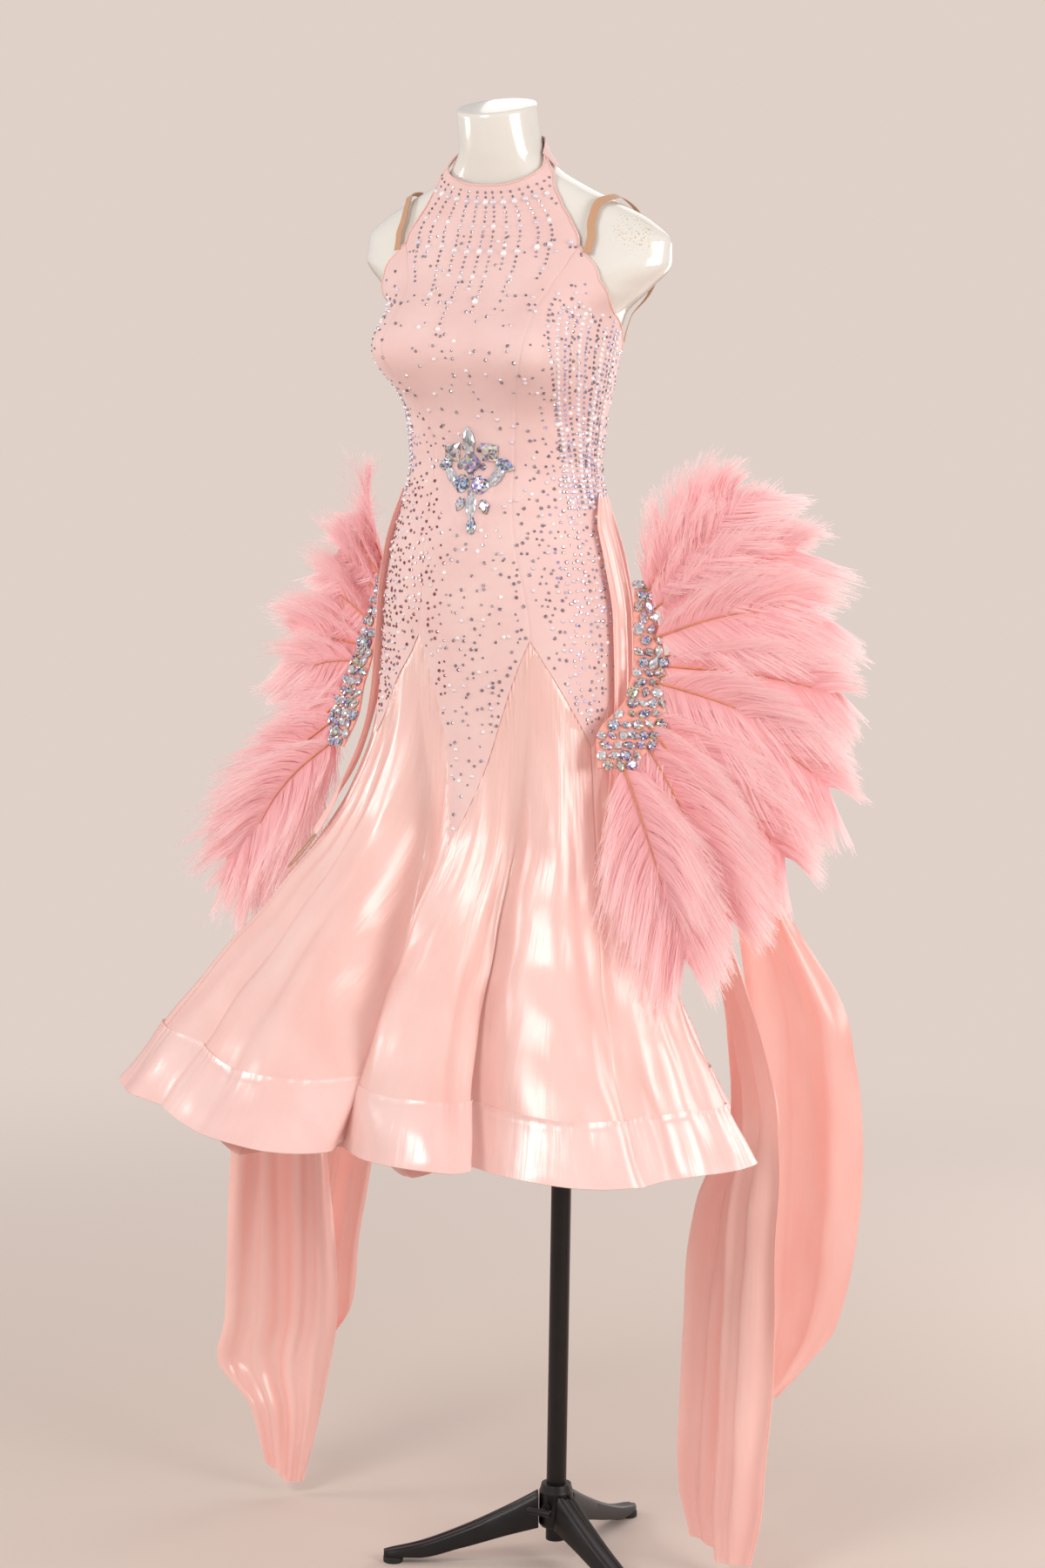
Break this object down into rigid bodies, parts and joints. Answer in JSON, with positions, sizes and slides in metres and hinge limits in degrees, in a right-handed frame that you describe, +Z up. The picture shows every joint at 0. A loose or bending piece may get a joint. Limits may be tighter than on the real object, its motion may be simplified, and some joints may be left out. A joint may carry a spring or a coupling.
{
  "type": "ballroom dance dress on a dress form and tripod stand",
  "caption": "Sleeveless halter ballroom dress in stoned crepe and flared satin, with hip drapes, feather fans and hanging floats, on a legless dress form with a tripod pole stand.",
  "frame": {"origin": "on the floor, at the centre of the box that holds the dress and its stand", "axes": "+Z up the pole; -Y is the front of the dress; +X is the wearer's left"},
  "size_m": [0.8776, 0.7682, 1.8236],
  "materials": {
    "crepe": "matte stretch crepe, pale pink",
    "satin": "glossy peach-pink satin",
    "elastic": "matte skin-toned elastic",
    "feather": "pink ostrich feather",
    "fan_base": "coral backing under the stones",
    "crystal": "faceted iridescent glass stones",
    "form": "gloss white",
    "steel": "satin black",
    "rubber": "matte black"
  },
  "bodies": {
    "dress_and_stand": {"arm_strap_left": "elastic", "arm_strap_right": "elastic", "bodice_back_left": "crepe", "bodice_back_right": "crepe", "bodice_front": "crepe", "bodice_side_left": "crepe", "bodice_side_right": "crepe", "centre_applique": "crystal", "drape_loop_right": "elastic", "fan_base_left": "fan_base", "fan_base_right": "fan_base", "feather_fan_left": "feather", "feather_fan_right": "feather", "float_left_fall": "satin", "float_left_sail": "satin", "float_right_fall": "satin", "float_right_sail": "satin", "foot_back": "rubber", "foot_left": "rubber", "foot_right": "rubber", "form_base_plate": "form", "form_torso": "form", "gore_back_left": "satin", "gore_back_right": "satin", "gore_front_left": "satin", "gore_front_right": "satin", "gore_side_left": "satin", "gore_side_right": "satin", "halter_band": "crepe", "hem_band_back_left": "satin", "hem_band_back_right": "satin", "hem_band_front_left": "satin", "hem_band_front_right": "satin", "hem_band_side_left": "satin", "hem_band_side_right": "satin", "hip_drape_left": "satin", "hip_drape_right": "satin", "hub": "steel", "leg_back": "steel", "leg_left": "steel", "leg_right": "steel", "pole": "steel", "underskirt_back": "satin", "underskirt_front": "satin"},
    "clamp_screw": {"clamp_screw": "steel"}
  },
  "joints": [
    {"name": "clamp_turn", "type": "hinge", "parent": "dress_and_stand", "child": "clamp_screw", "pos_m": [0.08007, 0.08719, 0.078], "axis": [0, -1, 0], "continuous": true}
  ]
}
